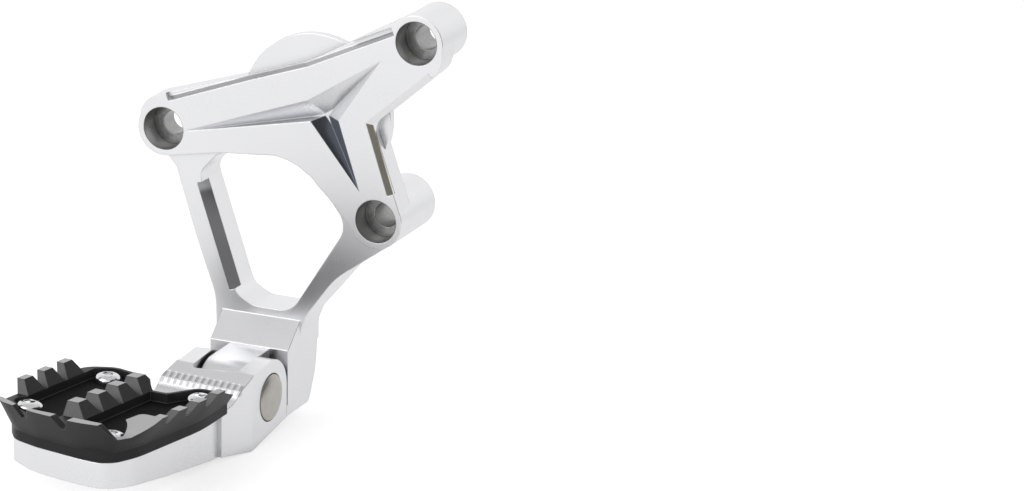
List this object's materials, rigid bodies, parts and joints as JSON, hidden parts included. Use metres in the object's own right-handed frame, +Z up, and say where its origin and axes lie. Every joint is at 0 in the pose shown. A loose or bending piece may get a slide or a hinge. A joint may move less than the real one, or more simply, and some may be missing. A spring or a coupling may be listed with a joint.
{
  "type": "motorcycle footpeg",
  "caption": "Folding motorcycle footpeg: toothed tread plate on a tapered peg, hinged with a return spring to a milled bracket with a window, spacers and bolt holes.",
  "frame": {"origin": "on the lower bolt's axis, at the back face of its spacer, where it meets the motorcycle", "axes": "+X outboard along the peg, +Y to the front of the motorcycle along the hinge pin, +Z up"},
  "size_m": [0.1474, 0.115, 0.149],
  "materials": {
    "bracket_metal": "satin, machined",
    "peg_metal": "satin, machined",
    "tread_black": "black anodised, satin",
    "pin_steel": "turned",
    "screw_steel": "bright",
    "bush_bronze": "plain",
    "spring_steel": "drawn wire",
    "washer_steel": "zinc"
  },
  "bodies": {
    "bracket_side": {"bracket": "bracket_metal", "front_bush": "bush_bronze", "rear_bush": "bush_bronze", "return_spring": "spring_steel"},
    "peg_side": {"peg_body": "peg_metal", "tread_plate": "tread_black", "pivot_pin": "pin_steel", "pin_washer": "washer_steel", "pin_clip": "spring_steel", "tread_screw_front_root": "screw_steel", "tread_screw_rear_root": "screw_steel", "tread_screw_front_tip": "screw_steel", "tread_screw_rear_tip": "screw_steel"}
  },
  "joints": [
    {"name": "peg_fold", "type": "hinge", "parent": "bracket_side", "child": "peg_side", "pos_m": [0.049, -0.0286, -0.0605], "axis": [0, -1, 0], "range_deg": [0, 85], "stiffness_Nm_per_rad": 0.15, "springref_deg": -45.84, "deforming": ["return_spring"]}
  ]
}
